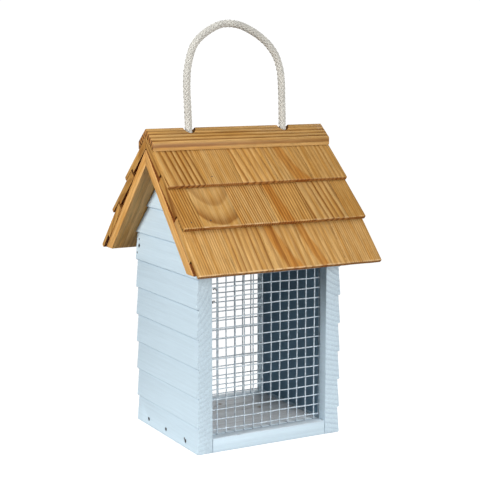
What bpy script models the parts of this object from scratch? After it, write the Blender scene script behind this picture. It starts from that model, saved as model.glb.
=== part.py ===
# Hanging nut feeder shaped like a small clapboard hut: two side walls and a base board hold a wire
# mesh front and back, and a shingled roof slides up the hanging rope so that the feeder can be filled.
# X runs along the ridge, -Y is the front, Z is up, and the origin is the middle of the base's underside.

import math

import bmesh
import bpy
from mathutils import Matrix, Vector

MM = 0.001
GAP = 0.3 * MM  # left between pieces that touch on the real feeder

HOUSE_LENGTH = 102.0 * MM
HOUSE_DEPTH = 88.0 * MM
WALL_THICKNESS = 10.5 * MM
MILLED_DEPTH = 1.5 * MM  # how far each clapboard course steps in towards its top
TOOTH_ROUND = 0.6 * MM
FIRST_COURSE = 16.7 * MM
COURSE = 18.24 * MM
BASE_THICKNESS = 8.7 * MM

MESH_PITCH = 6.35 * MM
MESH_WIRE = 0.9 * MM
MESH_RECESS = 8.1 * MM  # front edge of the walls to the mesh
UPRIGHT_WIRES = 13
CROSS_WIRES = 18
FIRST_UPRIGHT = -39.3 * MM
FIRST_CROSS = 11.7 * MM
SLOT_WIDTH = 1.6 * MM
SLOT_DEPTH = 2.9 * MM

RAIL_THICKNESS = 6.6 * MM
RAIL_LOW = 110.0 * MM
RAIL_HIGH = 125.0 * MM

BAR_DEPTH = 14.0 * MM
BAR_LOW = 148.0 * MM
BAR_HIGH = 158.0 * MM

ROOF_LENGTH = 126.0 * MM
ROOF_SLOPE = math.radians(46.8)
ROOF_APEX = 173.2 * MM  # where the undersides of the two roof panels meet
PANEL_THICKNESS = 6.8 * MM
PANEL_FOOT = 114.2 * MM  # height of the panels' level cut at the eaves
SHINGLE_THICKNESS = 5.4 * MM
LAP_DEPTH = 2.8 * MM  # rebate under each shingle's foot
LAP_LENGTH = 12.9 * MM
SHINGLE_LENGTH = 42.0 * MM
EAVE_FOOT = 91.4 * MM  # distances of the shingles' feet down the slope from the apex
MIDDLE_FOOT = 61.2 * MM
TOP_FOOT = 30.0 * MM
ROPE_CLEARANCE = 7.5 * MM  # how far the top shingles beside the rope stop short of the others
EDGE_ROUND = 0.35 * MM
# Each course: its name, where its shingles meet as shares of the roof's length, its head and foot down
# the slope, and how far its feet tilt up off the panel to lie on the course below.
COURSES = (
    ("eave", (0.2, 0.4, 0.6, 0.8), EAVE_FOOT - SHINGLE_LENGTH, EAVE_FOOT, 0.0),
    ("middle", (0.1, 0.3, 0.5, 0.7, 0.9), MIDDLE_FOOT - SHINGLE_LENGTH, MIDDLE_FOOT, math.radians(5.7)),
    ("top", (0.2, 0.4, 0.6, 0.8), -7.2 * MM, TOP_FOOT, math.radians(6.3)),
)
CAP_WIDTH = 10.7 * MM
CAP_THICKNESS = 3.8 * MM
CAP_SLOPE = math.radians(38.5)
CAP_UNDERSIDE = 190.85 * MM

ROPE_DIAMETER = 5.0 * MM
ROPE_X = 33.6 * MM
ROOF_HOLE_RADIUS = 4.0 * MM
BAR_HOLE_RADIUS = 3.2 * MM
ROPE_STEP = 10.5 * MM
KNOT_WIDTH = 12.6 * MM  # along the bar
KNOT_DEPTH = 15.0 * MM  # across it
KNOT_HEIGHT = 12.0 * MM
# The rope's run from the left knot, over the loop and down to the right knot: X and Z in millimetres.
ROPE_ROUTE = (
    (-33.6, 148), (-33.6, 172), (-33.8, 196), (-34.5, 212), (-34.8, 222), (-34, 233), (-30, 245.5),
    (-22, 253.5), (-11, 258.8), (0, 259), (11, 255), (21, 248.5), (28, 240.5), (31.5, 232),
    (32.8, 223), (33.3, 210), (33.6, 195), (33.6, 172), (33.6, 148),
)

NAIL_LENGTH = 20.0 * MM
NAIL_RADIUS = 0.7 * MM
NAIL_HEAD_RADIUS = 1.1 * MM
NAIL_HEAD = 0.5 * MM
NAIL_ROOM = 0.3 * MM
BASE_NAIL_Y = (-27.0 * MM, 1.0 * MM, 27.0 * MM)
RAIL_NAIL_Z = 117.3 * MM
BAR_NAIL_Y = 5.0 * MM  # beside the rope's hole

WALL_INSIDE = HOUSE_LENGTH / 2 - WALL_THICKNESS
MESH_Y = HOUSE_DEPTH / 2 - MESH_RECESS
RAIL_Y = MESH_Y + 0.9 * MM + RAIL_THICKNESS / 2
BETWEEN_WALLS = 2 * (WALL_INSIDE - GAP)


def clear_scene():
    for obj in list(bpy.data.objects):
        bpy.data.objects.remove(obj, do_unlink=True)


def new_collection(name, hidden=False):
    collection = bpy.data.collections.new(name)
    collection.hide_render = hidden
    bpy.context.scene.collection.children.link(collection)
    return collection


def new_material(name, colour, roughness, metallic=0.0):
    material = bpy.data.materials.new(name)
    material.use_nodes = True
    shader = material.node_tree.nodes["Principled BSDF"]
    shader.inputs["Base Color"].default_value = (*colour, 1.0)
    shader.inputs["Roughness"].default_value = roughness
    shader.inputs["Metallic"].default_value = metallic
    return material


def new_empty(name, location):
    empty = bpy.data.objects.new(name, None)
    empty.location = location
    empty.empty_display_size = 0.02
    feeder.objects.link(empty)
    return empty


def place(obj, matrix, material, parent):
    """Puts an object into the feeder's collection at a world matrix, held by an empty."""
    feeder.objects.link(obj)
    obj.parent = parent
    obj.matrix_parent_inverse = parent.matrix_world.inverted()
    obj.matrix_basis = matrix
    obj.data.materials.append(material)
    return obj


def mesh_object(name, bm, matrix, material, parent, bevel=0.0):
    """Makes an object of a bmesh that was modelled in its own axes."""
    bmesh.ops.recalc_face_normals(bm, faces=bm.faces)
    mesh = bpy.data.meshes.new(name)
    bm.to_mesh(mesh)
    bm.free()
    obj = place(bpy.data.objects.new(name, mesh), matrix, material, parent)
    if bevel:
        rounding = obj.modifiers.new("rounded_edges", "BEVEL")
        rounding.width = bevel
        rounding.segments = 1
        rounding.limit_method = "ANGLE"
    return obj


def block(size):
    bm = bmesh.new()
    bmesh.ops.create_cube(bm, size=1.0, matrix=Matrix.Diagonal((*size, 1.0)))
    return bm


def extruded(outline, run):
    """A solid made by pushing one flat outline along a vector."""
    bm = bmesh.new()
    section = bm.faces.new([bm.verts.new(corner) for corner in outline])
    pushed = bmesh.ops.extrude_face_region(bm, geom=[section])["geom"]
    bmesh.ops.translate(bm, vec=run, verts=[item for item in pushed if isinstance(item, bmesh.types.BMVert)])
    return bm


def trim(bm, point, normal):
    """Saws off what lies beyond a plane and closes the cut."""
    geometry = bm.verts[:] + bm.edges[:] + bm.faces[:]
    bmesh.ops.bisect_plane(bm, geom=geometry, dist=1e-7, plane_co=point, plane_no=normal, clear_outer=True)
    bmesh.ops.holes_fill(bm, edges=[edge for edge in bm.edges if edge.is_boundary], sides=0)


def cutter_object(name, bm, matrix=None):
    bmesh.ops.recalc_face_normals(bm, faces=bm.faces)
    mesh = bpy.data.meshes.new(name)
    bm.to_mesh(mesh)
    bm.free()
    obj = bpy.data.objects.new(name, mesh)
    obj.matrix_basis = matrix or Matrix()
    obj.hide_render = True
    obj.display_type = "WIRE"
    cutters.objects.link(obj)
    return obj


def cut(obj, cutter):
    boolean = obj.modifiers.new("cut_" + cutter.name, "BOOLEAN")
    boolean.operation = "DIFFERENCE"
    boolean.solver = "EXACT"
    boolean.object = cutter


def slope_point(side, along, above, x=0.0):
    """A point on a roof slope: along it from the apex, and above the panel's underside."""
    across = along * math.cos(ROOF_SLOPE) + above * math.sin(ROOF_SLOPE)
    height = above * math.cos(ROOF_SLOPE) - along * math.sin(ROOF_SLOPE)
    return Vector((x, side * across, ROOF_APEX + height))


def slope_matrix(side, middle, angle):
    """World matrix of a board lying on a slope: local Y runs along it in the YZ plane, local Z is outwards."""
    return Matrix.Translation(middle) @ Matrix.Rotation(-side * angle, 4, "X")


def to_local(matrix, point):
    return matrix.inverted() @ Vector(point)


def turn_local(matrix, normal):
    return matrix.inverted().to_3x3() @ Vector(normal)


# ---- side walls ----


def clapboard_outline(side):
    """The wall's section: plain inside, and outside one tapering tooth for each course."""
    inner = side * WALL_INSIDE
    outer = side * HOUSE_LENGTH / 2
    top = ROOF_APEX + 4 * MM
    lines = [0.0]
    height = FIRST_COURSE
    while height < top - 3 * MM:
        lines.append(height)
        height += COURSE
    outline = [(inner, 0.0)]
    for low, high in zip(lines, lines[1:] + [top]):
        outline.append((outer - side * TOOTH_ROUND * 0.7, low))
        outline.append((outer, low + TOOTH_ROUND))
        outline.append((outer - side * MILLED_DEPTH * (high - low) / COURSE, high))
    outline.append((inner, top))
    return outline


def clapboard_face(height):
    """Distance from the middle of the house to the outside of a wall at a height."""
    low, length = 0.0, FIRST_COURSE
    while height > low + length:
        low, length = low + length, COURSE
    return HOUSE_LENGTH / 2 - MILLED_DEPTH * (height - low) / COURSE


def side_wall(name, side):
    outline = [Vector((x, -HOUSE_DEPTH / 2, z)) for x, z in clapboard_outline(side)]
    bm = extruded(outline, (0, HOUSE_DEPTH, 0))
    for slope in (-1, 1):
        normal = Vector((0, slope * math.sin(ROOF_SLOPE), math.cos(ROOF_SLOPE)))
        trim(bm, slope_point(slope, 0, -GAP), normal)
    wall = mesh_object(name, bm, Matrix(), painted, house)
    for slot in mesh_slots:
        cut(wall, slot)
    return wall


def add_mesh_slot(name, side):
    """The groove that holds a mesh panel's edges, in both walls and in the base board."""
    low, high = BASE_THICKNESS - 2.1 * MM, ROOF_APEX
    width = 2 * (WALL_INSIDE + SLOT_DEPTH)
    middle = Matrix.Translation((0, side * MESH_Y, (low + high) / 2))
    mesh_slots.append(cutter_object(name, block((width, SLOT_WIDTH, high - low)), middle))


# ---- wire mesh ----


def comb_outline(uprights, crosses, radius):
    """The outline of a mesh panel whose wire ends stand out at both sides and at the bottom."""
    reach = WALL_INSIDE + SLOT_DEPTH - 0.4 * MM
    foot = BASE_THICKNESS - 1.6 * MM
    left, right = uprights[0] - radius, uprights[-1] + radius
    bottom, top = crosses[0] - radius, crosses[-1] + radius
    outline = []
    for x in uprights:
        outline += [(x - radius, bottom), (x - radius, foot), (x + radius, foot), (x + radius, bottom)]
    outline = outline[1:-1]
    for z in crosses:
        outline += [(right, z - radius), (reach, z - radius), (reach, z + radius), (right, z + radius)]
    outline = outline[:-1] + [(right, top), (left, top)]
    for z in reversed(crosses):
        outline += [(left, z + radius), (-reach, z + radius), (-reach, z - radius), (left, z - radius)]
    tidy = []
    for point in outline:
        if not tidy or (Vector(point) - Vector(tidy[-1])).length > 1e-7:
            tidy.append(point)
    return tidy


def add_loop(curve, points):
    spline = curve.splines.new("POLY")
    spline.points.add(len(points) - 1)
    for target, (x, z) in zip(spline.points, points):
        target.co = (x, z, 0, 1)
    spline.use_cyclic_u = True


def wire_mesh(name, side):
    uprights = [FIRST_UPRIGHT + index * MESH_PITCH for index in range(UPRIGHT_WIRES)]
    crosses = [FIRST_CROSS + index * MESH_PITCH for index in range(CROSS_WIRES)]
    radius = MESH_WIRE / 2
    curve = bpy.data.curves.new(name, "CURVE")
    curve.dimensions = "2D"
    curve.fill_mode = "BOTH"
    curve.extrude = radius
    add_loop(curve, comb_outline(uprights, crosses, radius))
    for left, right in zip(uprights, uprights[1:]):
        for low, high in zip(crosses, crosses[1:]):
            hole = [(left + radius, low + radius), (right - radius, low + radius)]
            hole += [(right - radius, high - radius), (left + radius, high - radius)]
            add_loop(curve, hole)
    stand_up = Matrix.Translation((0, side * MESH_Y, 0)) @ Matrix.Rotation(math.pi / 2, 4, "X")
    return place(bpy.data.objects.new(name, curve), stand_up, zinc, house)


# ---- base, rails and hanger bar ----


def base_board():
    size = (BETWEEN_WALLS, HOUSE_DEPTH, BASE_THICKNESS)
    middle = Matrix.Translation((0, 0, BASE_THICKNESS / 2))
    base = mesh_object("base_board", block(size), middle, painted, house)
    for slot in mesh_slots:
        cut(base, slot)
    return base


def top_rail(name, side):
    size = (BETWEEN_WALLS, RAIL_THICKNESS, RAIL_HIGH - RAIL_LOW)
    middle = Matrix.Translation((0, side * RAIL_Y, (RAIL_HIGH + RAIL_LOW) / 2))
    return mesh_object(name, block(size), middle, painted, house, EDGE_ROUND)


def hanger_bar():
    size = (BETWEEN_WALLS, BAR_DEPTH, BAR_HIGH - BAR_LOW)
    middle = Matrix.Translation((0, 0, (BAR_HIGH + BAR_LOW) / 2))
    bar = mesh_object("hanger_bar", block(size), middle, bare_wood, house)
    for side, name in ((-1, "bar_hole_left"), (1, "bar_hole_right")):
        cut(bar, upright_hole(name, side * ROPE_X, BAR_HOLE_RADIUS, BAR_LOW, BAR_HIGH))
    return bar


def upright_hole(name, x, radius, low, high):
    bm = bmesh.new()
    depth = high - low + 20 * MM
    bmesh.ops.create_cone(bm, cap_ends=True, segments=20, radius1=radius, radius2=radius, depth=depth)
    return cutter_object(name, bm, Matrix.Translation((x, 0, (low + high) / 2)))


# ---- nails ----


def turned(name, profile):
    """A mesh holding one profile, from the top of the axis down, that a Screw modifier turns."""
    bm = bmesh.new()
    points = [bm.verts.new((radius, 0, height)) for radius, height in profile]
    for first, second in zip(points, points[1:]):
        bm.edges.new((first, second))
    mesh = bpy.data.meshes.new(name)
    bm.to_mesh(mesh)
    bm.free()
    return mesh


def turn(obj, steps=10):
    screw = obj.modifiers.new("turned", "SCREW")
    screw.axis = "Z"
    screw.steps = steps
    screw.render_steps = steps
    screw.use_merge_vertices = True
    screw.merge_threshold = 0.00001


def nail_mesh():
    shank_end = -NAIL_LENGTH + 2 * NAIL_RADIUS
    profile = [(0, 0), (NAIL_HEAD_RADIUS, 0), (NAIL_HEAD_RADIUS, -NAIL_HEAD), (NAIL_RADIUS, -NAIL_HEAD)]
    profile += [(NAIL_RADIUS, shank_end), (0, -NAIL_LENGTH)]
    return turned("nail", profile)


def nail_hole_mesh():
    head, shank = NAIL_HEAD_RADIUS + NAIL_ROOM, NAIL_RADIUS + NAIL_ROOM
    seat, end = -NAIL_HEAD - NAIL_ROOM, -NAIL_LENGTH - NAIL_ROOM
    return turned("nail_hole", [(0, 2 * MM), (head, 2 * MM), (head, seat), (shank, seat), (shank, end), (0, end)])


def add_nail(name, side, y, z, held):
    """Drives a nail in from a side wall, and drills the pieces that it goes through."""
    axis = Matrix.Rotation(side * math.pi / 2, 4, "Y")
    seat = Matrix.Translation((side * clapboard_face(z), y, z)) @ axis
    hole = bpy.data.objects.new(name + "_hole", nail_hole)
    hole.matrix_basis = seat
    hole.hide_render = True
    hole.display_type = "WIRE"
    cutters.objects.link(hole)
    turn(hole)
    for piece in held:
        cut(piece, hole)
    driven = place(bpy.data.objects.new(name, nail), seat, steel, house)
    turn(driven)


def add_nails(walls, base, rails, bar):
    for side, word, wall in ((-1, "left", walls[0]), (1, "right", walls[1])):
        for number, y in enumerate(BASE_NAIL_Y, 1):
            add_nail(f"base_nail_{word}_{number}", side, y, BASE_THICKNESS / 2, (wall, base))
        for end, place_word, rail in ((-1, "front", rails[0]), (1, "rear", rails[1])):
            add_nail(f"rail_nail_{word}_{place_word}", side, end * RAIL_Y, RAIL_NAIL_Z, (wall, rail))
        add_nail(f"bar_nail_{word}", side, BAR_NAIL_Y, (BAR_LOW + BAR_HIGH) / 2, (wall, bar))


# ---- roof ----


def roof_panel(name, side):
    """One sloping board, mitred at the ridge and cut level at the eave."""
    length = (ROOF_APEX - PANEL_FOOT) / math.sin(ROOF_SLOPE) + 40 * MM
    middle = slope_point(side, length / 2 - 20 * MM, PANEL_THICKNESS / 2)
    matrix = slope_matrix(side, middle, ROOF_SLOPE)
    bm = block((ROOF_LENGTH, length, PANEL_THICKNESS))
    trim(bm, to_local(matrix, (0, side * GAP / 2, 0)), turn_local(matrix, (0, -side, 0)))
    trim(bm, to_local(matrix, (0, 0, PANEL_FOOT)), turn_local(matrix, (0, 0, -1)))
    panel = mesh_object(name, bm, matrix, stained, roof)
    for hole in roof_holes:
        cut(panel, hole)
    return panel


def shingle_block(width, length):
    """A shingle in its own axes, foot towards -Y, with the rebate under its foot that laps the next course."""
    foot, head, half = -length / 2, length / 2, SHINGLE_THICKNESS / 2
    outline = [(foot, LAP_DEPTH - half), (foot, half), (head, half), (head, -half)]
    outline += [(foot + LAP_LENGTH, -half), (foot + LAP_LENGTH, LAP_DEPTH - half)]
    return extruded([Vector((-width / 2, y, z)) for y, z in outline], (width, 0, 0))


def lay_shingle(name, side, span, run, lift_from, tilt, mitred):
    """Lays one shingle; its underside leaves the panel at lift_from and rises by tilt towards the foot."""
    low, high = span
    head, foot = run
    angle = ROOF_SLOPE - tilt
    rise = PANEL_THICKNESS + GAP + ((head + foot) / 2 - lift_from) * math.tan(tilt)
    outward = Vector((0, side * math.sin(angle), math.cos(angle)))
    underside = slope_point(side, (head + foot) / 2, rise, (low + high) / 2)
    matrix = slope_matrix(side, underside + outward * SHINGLE_THICKNESS / 2, angle)
    bm = shingle_block(high - low, (foot - head) / math.cos(tilt))
    if side > 0:
        bmesh.ops.rotate(bm, verts=bm.verts, cent=(0, 0, 0), matrix=Matrix.Rotation(math.pi, 3, "Z"))
    if mitred:
        trim(bm, to_local(matrix, (0, side * GAP / 2, 0)), turn_local(matrix, (0, -side, 0)))
    mesh_object(name, bm, matrix, stained, roof, EDGE_ROUND)


def add_shingles(word, side):
    for course, joints, head, foot, tilt in COURSES:
        marks = [(joint - 0.5) * ROOF_LENGTH for joint in (0.0, *joints, 1.0)]
        for number, (low, high) in enumerate(zip(marks, marks[1:]), 1):
            span = (low + (GAP / 2 if number > 1 else 0), high - (GAP / 2 if high < marks[-1] else 0))
            beside_rope = low < -ROPE_X < high or low < ROPE_X < high
            start, mitred = head, False
            if course == "top":
                start = head + ROPE_CLEARANCE if beside_rope else head - SHINGLE_THICKNESS
                mitred = not beside_rope
            lay_shingle(f"shingle_{word}_{course}_{number}", side, span, (start, foot), head, tilt, mitred)


def ridge_cap(name, side):
    outward = Vector((0, side * math.sin(CAP_SLOPE), math.cos(CAP_SLOPE)))
    middle = Vector((0, side * CAP_WIDTH / 2, CAP_UNDERSIDE - CAP_WIDTH / 2 * math.tan(CAP_SLOPE)))
    matrix = slope_matrix(side, middle + outward * CAP_THICKNESS / 2, CAP_SLOPE)
    bm = block((ROOF_LENGTH, 3 * CAP_WIDTH, CAP_THICKNESS))
    trim(bm, to_local(matrix, (0, side * GAP / 2, 0)), turn_local(matrix, (0, -side, 0)))
    trim(bm, to_local(matrix, (0, side * CAP_WIDTH, 0)), turn_local(matrix, (0, side, 0)))
    cap = mesh_object(name, bm, matrix, stained, roof)
    for hole in roof_holes:
        cut(cap, hole)


# ---- rope ----


def catmull_rom(points, step):
    """A smooth curve through the points, read about every step."""
    padded = [2 * points[0] - points[1], *points, 2 * points[-1] - points[-2]]
    fine = []
    for a, b, c, d in zip(padded, padded[1:], padded[2:], padded[3:]):
        for part in range(20):
            t = part / 20
            fine.append(0.5 * (2 * b + t * (c - a) + t * t * (2 * a - 5 * b + 4 * c - d)
                               + t ** 3 * (3 * b - a - 3 * c + d)))
    fine.append(points[-1])
    total = sum((b - a).length for a, b in zip(fine, fine[1:]))
    spacing = total / round(total / step)
    read, travelled = [fine[0]], 0.0
    for a, b in zip(fine, fine[1:]):
        travelled += (b - a).length
        if travelled >= spacing * len(read) - 1e-9:
            read.append(b)
    if (read[-1] - fine[-1]).length > spacing / 2:
        read.append(fine[-1])
    read[-1] = fine[-1]
    return read


def hanging_rope():
    points = [Vector((x * MM, 0, z * MM)) for x, z in ROPE_ROUTE]
    curve = bpy.data.curves.new("rope", "CURVE")
    curve.dimensions = "3D"
    curve.bevel_depth = ROPE_DIAMETER / 2
    curve.bevel_resolution = 2
    curve.use_fill_caps = True
    line = catmull_rom(points, ROPE_STEP)
    spline = curve.splines.new("POLY")
    spline.points.add(len(line) - 1)
    for target, point in zip(spline.points, line):
        target.co = (*point, 1)
    place(bpy.data.objects.new("rope", curve), Matrix(), cotton, house)


def rope_knot(name, side):
    bm = bmesh.new()
    bmesh.ops.create_uvsphere(bm, u_segments=12, v_segments=8, radius=0.5)
    bmesh.ops.scale(bm, vec=(KNOT_WIDTH, KNOT_DEPTH, KNOT_HEIGHT), verts=bm.verts)
    height = BAR_LOW - GAP - KNOT_HEIGHT / 2
    knot = mesh_object(name, bm, Matrix.Translation((side * ROPE_X, 0, height)), cotton, house)
    knot.data.shade_smooth()


clear_scene()
feeder = new_collection("bird_feeder")
cutters = new_collection("cutters", hidden=True)

painted = new_material("painted_wood", (0.60, 0.71, 0.78), 0.55)
stained = new_material("stained_pine", (0.58, 0.34, 0.13), 0.5)
bare_wood = new_material("bare_wood", (0.55, 0.42, 0.28), 0.7)
zinc = new_material("galvanised_wire", (0.55, 0.60, 0.66), 0.4, 0.9)
steel = new_material("nail_steel", (0.30, 0.31, 0.33), 0.45, 0.9)
cotton = new_material("cotton_rope", (0.78, 0.75, 0.68), 0.9)

house = new_empty("house_frame", (0, 0, 0))
roof = new_empty("roof_slide", (0, 0, ROOF_APEX))
bpy.context.view_layer.update()

nail = nail_mesh()
nail_hole = nail_hole_mesh()
mesh_slots = []
add_mesh_slot("mesh_slot_front", -1)
add_mesh_slot("mesh_slot_rear", 1)
roof_holes = [
    upright_hole("rope_hole_left", -ROPE_X, ROOF_HOLE_RADIUS, ROOF_APEX, ROOF_APEX + 20 * MM),
    upright_hole("rope_hole_right", ROPE_X, ROOF_HOLE_RADIUS, ROOF_APEX, ROOF_APEX + 20 * MM),
]

side_walls = (side_wall("left_wall", -1), side_wall("right_wall", 1))
wire_mesh("front_mesh", -1)
wire_mesh("rear_mesh", 1)
top_rails = (top_rail("front_top_rail", -1), top_rail("rear_top_rail", 1))
add_nails(side_walls, base_board(), top_rails, hanger_bar())
for side_word, slope_side in (("front", -1), ("rear", 1)):
    roof_panel("roof_panel_" + side_word, slope_side)
    add_shingles(side_word, slope_side)
    ridge_cap("ridge_cap_" + side_word, slope_side)
hanging_rope()
rope_knot("rope_knot_left", -1)
rope_knot("rope_knot_right", 1)
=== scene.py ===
import math
import random

import bmesh
import bpy
from mathutils import Matrix, Vector


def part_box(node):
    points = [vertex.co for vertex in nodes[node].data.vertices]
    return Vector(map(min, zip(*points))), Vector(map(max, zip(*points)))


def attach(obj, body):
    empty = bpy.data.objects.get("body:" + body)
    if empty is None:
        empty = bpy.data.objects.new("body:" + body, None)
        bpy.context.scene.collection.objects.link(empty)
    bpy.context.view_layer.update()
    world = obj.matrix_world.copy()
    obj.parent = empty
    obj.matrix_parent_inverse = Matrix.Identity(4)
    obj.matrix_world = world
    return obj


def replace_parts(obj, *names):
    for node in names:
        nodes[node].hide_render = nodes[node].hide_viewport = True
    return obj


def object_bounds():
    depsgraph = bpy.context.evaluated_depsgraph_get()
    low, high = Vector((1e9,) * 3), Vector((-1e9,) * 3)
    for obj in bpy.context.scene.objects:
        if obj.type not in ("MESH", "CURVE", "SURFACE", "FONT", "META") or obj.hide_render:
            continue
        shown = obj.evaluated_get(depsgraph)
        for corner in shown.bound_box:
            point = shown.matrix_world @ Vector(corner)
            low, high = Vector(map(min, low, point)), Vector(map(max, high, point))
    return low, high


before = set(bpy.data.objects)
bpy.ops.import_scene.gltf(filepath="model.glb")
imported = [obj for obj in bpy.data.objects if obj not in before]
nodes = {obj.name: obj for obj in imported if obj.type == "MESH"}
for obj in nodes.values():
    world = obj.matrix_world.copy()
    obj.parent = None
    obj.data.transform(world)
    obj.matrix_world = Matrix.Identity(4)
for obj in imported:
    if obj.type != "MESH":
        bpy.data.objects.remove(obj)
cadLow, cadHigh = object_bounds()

mm = 0.001
alongRidge, acrossRidge, upward = Vector((1, 0, 0)), Vector((0, 1, 0)), Vector((0, 0, 1))

viewpoint = {
    "place": (-0.3775, -0.6943, 0.2391),
    "down": 8.38,  # degrees below level
    "across": 28.70,  # degrees right of straight at the front
    "lens": 93.45,
    "sensor": 36.0,
}


def addCamera():
    data = bpy.data.cameras.new("studioCamera")
    data.lens = viewpoint["lens"]
    data.sensor_width = viewpoint["sensor"]
    camera = bpy.data.objects.new("studioCamera", data)
    camera.location = viewpoint["place"]
    camera.rotation_euler = (math.radians(90 - viewpoint["down"]), 0, -math.radians(viewpoint["across"]))
    bpy.context.collection.objects.link(camera)
    bpy.context.scene.camera = camera


addCamera()
print("camera placed")


def newMaterial(name):
    made = bpy.data.materials.new(name)
    made.use_nodes = True
    tree = made.node_tree
    return made, tree, tree.nodes["Principled BSDF"]


def addNode(tree, kind, inputs=None, **settings):
    made = tree.nodes.new("ShaderNode" + kind)
    for key, value in settings.items():
        setattr(made, key, value)
    for key, value in (inputs or {}).items():
        if isinstance(value, bpy.types.NodeSocket):
            tree.links.new(value, made.inputs[key])
        else:
            made.inputs[key].default_value = value
    return made


def calc(tree, operation, first, second=0.0, third=0.0):  # one Math node
    made = addNode(tree, "Math", {0: first, 1: second, 2: third}, operation=operation)
    return made.outputs[0]


def scaled(tree, vector, factors):
    made = addNode(tree, "VectorMath", {0: vector, 1: factors}, operation="MULTIPLY")
    return made.outputs["Vector"]


def placeInMm(tree):
    return scaled(tree, addNode(tree, "TexCoord").outputs["Object"], (1 / mm, 1 / mm, 1 / mm))


def noiseOn(tree, vector, scale=1.0, detail=2.0, rough=0.5):
    settings = {"Vector": vector, "Scale": scale, "Detail": detail, "Roughness": rough}
    return addNode(tree, "TexNoise", settings).outputs["Fac"]


def ramp(tree, factor, stops):
    made = addNode(tree, "ValToRGB", {"Fac": factor})
    elements = made.color_ramp.elements
    while len(elements) < len(stops):
        elements.new(0.5)
    for element, (place, colour) in zip(elements, stops):
        element.position = place
        element.color = (*colour, 1.0) if isinstance(colour, tuple) else (colour, colour, colour, 1.0)
    return made.outputs["Color"]


def blend(tree, kind, factor, first, second):
    made = addNode(tree, "Mix", data_type="RGBA", blend_type=kind, clamp_result=False)
    for socket, value in zip((made.inputs[0], made.inputs[6], made.inputs[7]), (factor, first, second)):
        if isinstance(value, bpy.types.NodeSocket):
            tree.links.new(value, socket)
        else:
            socket.default_value = value if isinstance(value, float) else (*value, 1.0)
    return made.outputs[2]


def times(tree, colour, factor, share=1.0):
    return blend(tree, "MULTIPLY", share, colour, factor)


def spreadOver(tree, shader, socket, value, limits):
    spread = addNode(tree, "MapRange", {"Value": value, "To Min": limits[0], "To Max": limits[1]})
    tree.links.new(spread.outputs["Result"], shader.inputs[socket])


def attribute(tree, name):
    return addNode(tree, "Attribute", attribute_name=name)


def bump(tree, height, distance, strength, under=None):
    inputs = {"Height": height, "Distance": distance, "Strength": strength}
    if under:
        inputs["Normal"] = under
    return addNode(tree, "Bump", inputs).outputs["Normal"]


# How dark the wood is across one year's ring, from its pale spring wood to its dark summer wood.
ringProfile = [(0.0, 0.35), (0.06, 0.0), (0.35, 0.04), (0.6, 0.42), (0.78, 0.85), (0.93, 1.0), (1.0, 0.35)]
rings = {"drift": (0.05, 0.011, 0.05), "weakest": 0.5}  # the weakest year's share of the strongest


def ringPattern(tree, wander):
    grain = attribute(tree, "grain").outputs["Vector"]
    growth = attribute(tree, "growth").outputs["Vector"]
    drift = noiseOn(tree, scaled(tree, grain, rings["drift"]), detail=3.0)
    flat = scaled(tree, growth, (1.0, 0.0, 1.0))
    reach = addNode(tree, "VectorMath", {0: flat}, operation="LENGTH").outputs["Value"]
    radius = calc(tree, "MULTIPLY_ADD", calc(tree, "SUBTRACT", drift, 0.5), wander, reach)
    late = ramp(tree, calc(tree, "FRACT", radius), ringProfile)
    number = calc(tree, "FLOOR", calc(tree, "ADD", radius, 0.02))
    year = addNode(tree, "TexWhiteNoise", {"W": number}, noise_dimensions="1D").outputs["Value"]
    strength = calc(tree, "MULTIPLY_ADD", year, 1.0 - rings["weakest"], rings["weakest"])
    return grain, calc(tree, "MULTIPLY", late, strength)


def endGrain(tree, axis):
    normal = addNode(tree, "TexCoord").outputs["Normal"]
    facing = addNode(tree, "VectorMath", {0: normal, 1: axis}, operation="DOT_PRODUCT").outputs["Value"]
    return calc(tree, "ABSOLUTE", facing)


pine = {
    "early": (0.595, 0.356, 0.126),
    "late": (0.240, 0.086, 0.007),
    "deep": (0.86, 0.74, 0.50),
    "end": (0.52, 0.33, 0.19),
    "worn": (0.78, 0.54, 0.28),
    "band": (0.84, 0.62, 0.32),
    # painted shade in the narrow wedges between the shingles and the roof panels
    "soaked": (0.50, 0.30, 0.22),
    "rough": (0.44, 0.62),
    "shine": 0.35,
    "endStripes": 0.3,
    "ridgeStripes": 1.3,
    # how often each pattern repeats across, along and through a board, for each millimetre
    "fibre": (1.9, 0.09, 1.9),
    "streak": (0.35, 0.02, 0.35),
    "ragged": (0.2, 0.06, 0.2),
    "pores": (3.0, 0.32, 3.0),
}


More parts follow.
